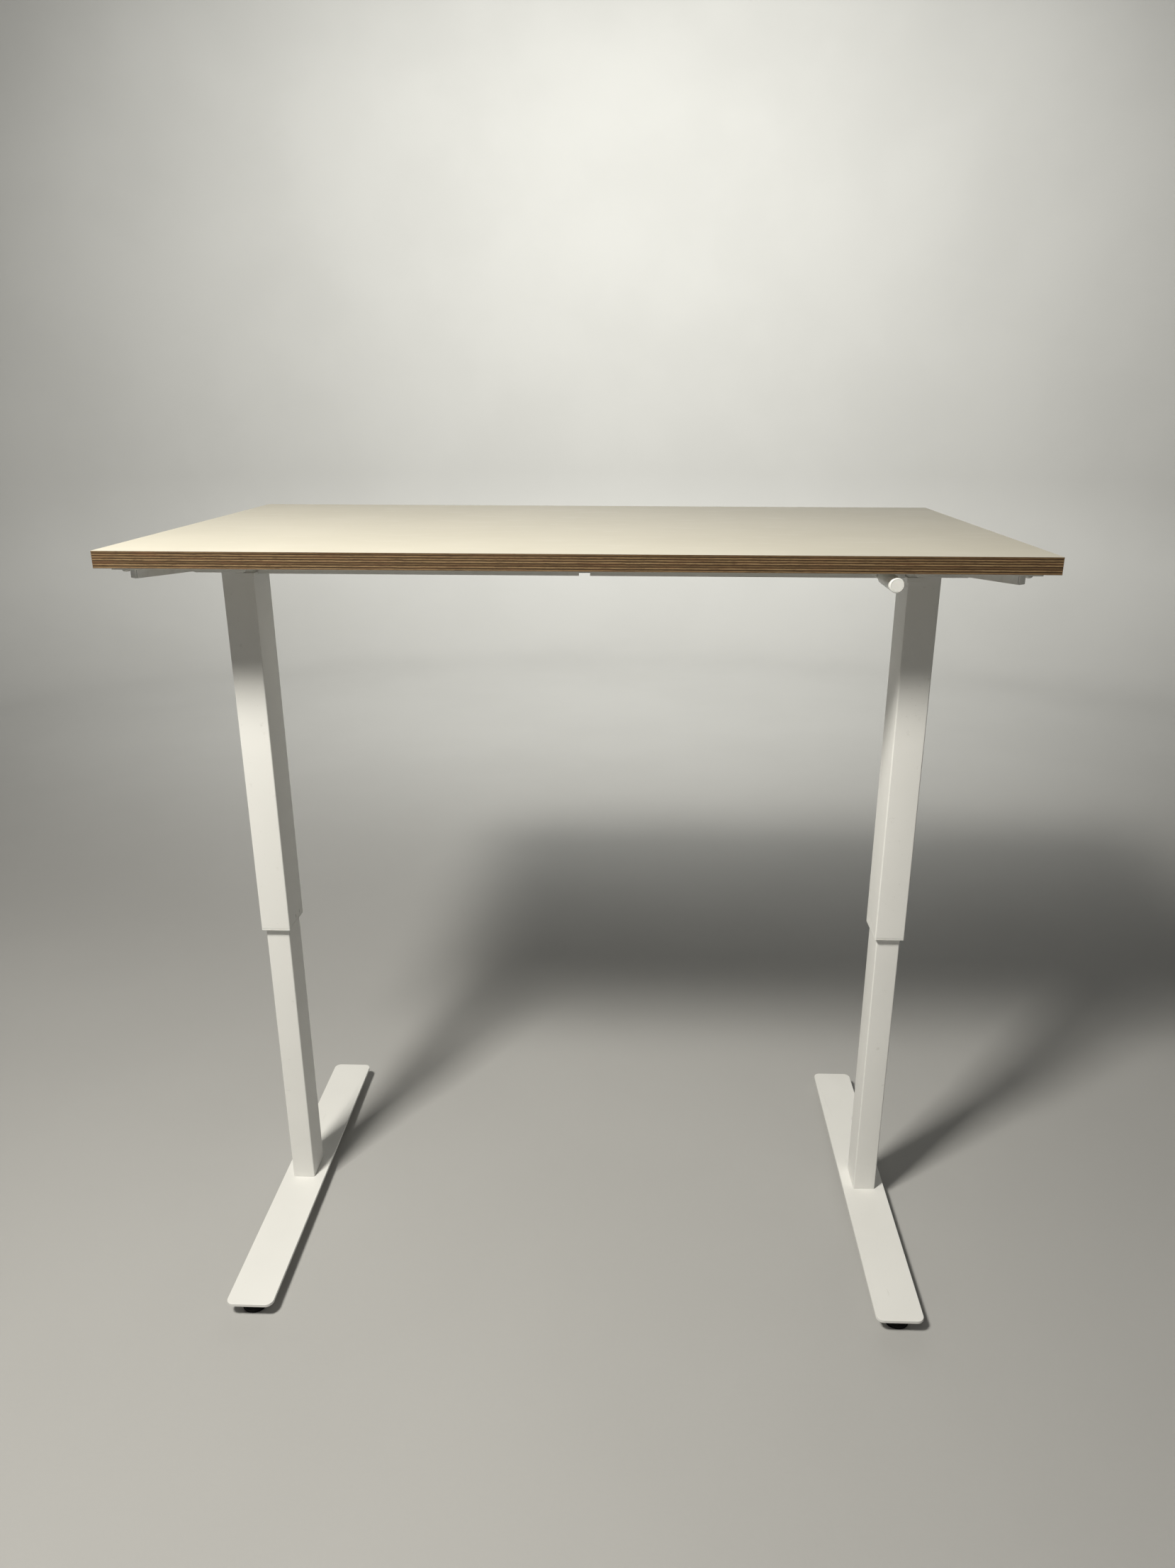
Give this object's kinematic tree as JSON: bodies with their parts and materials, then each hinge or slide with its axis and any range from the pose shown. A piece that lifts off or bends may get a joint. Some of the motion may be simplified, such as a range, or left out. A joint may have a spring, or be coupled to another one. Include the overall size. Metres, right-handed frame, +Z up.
{
  "type": "height adjustable standing desk",
  "caption": "Standing desk with telescopic legs on flat feet, raised and lowered by a folding hand crank under the front edge of its plywood worktop.",
  "frame": {"origin": "on the floor, under the centre of the whole desk's box at its top height", "axes": "+X to the user's right along the worktop, +Y away from the user, +Z up"},
  "size_m": [1.33, 0.906, 1.2],
  "materials": {
    "laminate": "matt cream laminate with a fine texture",
    "plywood": "oiled plywood edge with visible plies",
    "frame_paint": "white powder coat, satin, finely textured",
    "white_plastic": "moulded white plastic",
    "black_rubber": "black moulded rubber-faced plastic",
    "zinc_screws": "zinc-plated steel",
    "cast_housing": "die-cast, as cast",
    "steel_drive": "bright drawn steel",
    "nut_plastic": "moulded acetal"
  },
  "bodies": {
    "base": {"foot_plate_left": "frame_paint", "lower_tube_left": "frame_paint", "tube_block_left": "steel_drive", "foot_bolt_left": "zinc_screws", "drive_nut_left": "nut_plastic", "lower_glide_left": "white_plastic", "foot_plate_right": "frame_paint", "lower_tube_right": "frame_paint", "tube_block_right": "steel_drive", "foot_bolt_right": "zinc_screws", "drive_nut_right": "nut_plastic", "lower_glide_right": "white_plastic"},
    "upper": {"upper_tube_left": "frame_paint", "collar_glide_left": "white_plastic", "head_plate_left": "frame_paint", "beam_strap_left": "frame_paint", "front_arm_left": "frame_paint", "rear_arm_left": "frame_paint", "arm_cap_left": "white_plastic", "front_arm_screw_left": "zinc_screws", "rear_arm_screw_left": "zinc_screws", "leg_gear_housing_left": "cast_housing", "thrust_bearing_left": "steel_drive", "upper_tube_right": "frame_paint", "collar_glide_right": "white_plastic", "head_plate_right": "frame_paint", "beam_strap_right": "frame_paint", "front_arm_right": "frame_paint", "rear_arm_right": "frame_paint", "arm_cap_right": "white_plastic", "front_arm_screw_right": "zinc_screws", "rear_arm_screw_right": "zinc_screws", "leg_gear_housing_right": "cast_housing", "thrust_bearing_right": "steel_drive", "top_laminate": "laminate", "tabletop_core": "plywood", "bottom_laminate": "laminate", "left_beam": "frame_paint", "right_beam": "frame_paint", "beam_sleeve": "steel_drive", "crank_gear_housing": "cast_housing"},
    "pad_front_left": {"levelling_pad_front_left": "black_rubber"},
    "pad_rear_left": {"levelling_pad_rear_left": "black_rubber"},
    "screw_left": {"lead_screw_left": "steel_drive", "screw_bevel_left": "steel_drive"},
    "pad_front_right": {"levelling_pad_front_right": "black_rubber"},
    "pad_rear_right": {"levelling_pad_rear_right": "black_rubber"},
    "screw_right": {"lead_screw_right": "steel_drive", "screw_bevel_right": "steel_drive"},
    "cross_shaft": {"cross_shaft": "steel_drive", "cross_shaft_bevel_crank_end": "steel_drive", "cross_shaft_bevel_leg_end": "steel_drive"},
    "stub_shaft": {"stub_shaft": "steel_drive", "stub_shaft_bevel_crank_end": "steel_drive", "stub_shaft_bevel_leg_end": "steel_drive"},
    "crank_gear": {"crank_bevel": "steel_drive"},
    "crank_rod": {"crank_rod": "steel_drive"},
    "crank_bar": {"crank_bar": "frame_paint"},
    "grip_bracket": {"grip_bracket": "steel_drive"},
    "grip": {"crank_grip": "white_plastic"}
  },
  "joints": [
    {"name": "lift", "type": "slide", "parent": "base", "child": "upper", "axis": [0, 0, 1], "range_m": [-0.48, 0]},
    {"name": "screw_turn_left", "type": "hinge", "parent": "upper", "child": "screw_left", "pos_m": [-0.521, -0.116, 1.1597], "axis": [0, 0, 1], "range_deg": [0, 34560]},
    {"name": "screw_turn_right", "type": "hinge", "parent": "upper", "child": "screw_right", "pos_m": [0.521, -0.116, 1.1597], "axis": [0, 0, 1], "range_deg": [0, 34560]},
    {"name": "cross_shaft_turn", "type": "hinge", "parent": "upper", "child": "cross_shaft", "pos_m": [0.445, -0.116, 1.1597], "axis": [1, 0, 0], "range_deg": [0, 34560]},
    {"name": "stub_shaft_turn", "type": "hinge", "parent": "upper", "child": "stub_shaft", "pos_m": [0.445, -0.116, 1.1597], "axis": [1, 0, 0], "range_deg": [-34560, 0]},
    {"name": "crank_turn", "type": "hinge", "parent": "upper", "child": "crank_gear", "pos_m": [0.445, -0.116, 1.1597], "axis": [0, 1, 0], "range_deg": [-34560, 0]},
    {"name": "crank_pull", "type": "slide", "parent": "crank_gear", "child": "crank_rod", "axis": [0, -1, 0], "range_m": [0, 0.18]},
    {"name": "bar_fold", "type": "hinge", "parent": "crank_rod", "child": "crank_bar", "pos_m": [0.445, -0.15, 1.1597], "axis": [0, 0, -1], "range_deg": [0, 90]},
    {"name": "grip_fold", "type": "hinge", "parent": "crank_bar", "child": "grip_bracket", "pos_m": [0.445, -0.212, 1.1597], "axis": [0, 0, 1], "range_deg": [0, 90]},
    {"name": "grip_spin", "type": "hinge", "parent": "grip_bracket", "child": "grip", "pos_m": [0.445, -0.212, 1.1597], "axis": [0, 1, 0], "continuous": true},
    {"name": "level_front_left", "type": "slide", "parent": "base", "child": "pad_front_left", "axis": [0, 0, -1], "range_m": [0, 0.008]},
    {"name": "level_rear_left", "type": "slide", "parent": "base", "child": "pad_rear_left", "axis": [0, 0, -1], "range_m": [0, 0.008]},
    {"name": "level_front_right", "type": "slide", "parent": "base", "child": "pad_front_right", "axis": [0, 0, -1], "range_m": [0, 0.008]},
    {"name": "level_rear_right", "type": "slide", "parent": "base", "child": "pad_rear_right", "axis": [0, 0, -1], "range_m": [0, 0.008]}
  ],
  "couplings": [
    {"joint": "screw_turn_left", "follows": "lift", "rad_per_m": -1256.6},
    {"joint": "screw_turn_right", "follows": "lift", "rad_per_m": -1256.6},
    {"joint": "cross_shaft_turn", "follows": "lift", "rad_per_m": -1256.6},
    {"joint": "stub_shaft_turn", "follows": "lift", "rad_per_m": 1256.6},
    {"joint": "crank_turn", "follows": "lift", "rad_per_m": 1256.6}
  ]
}
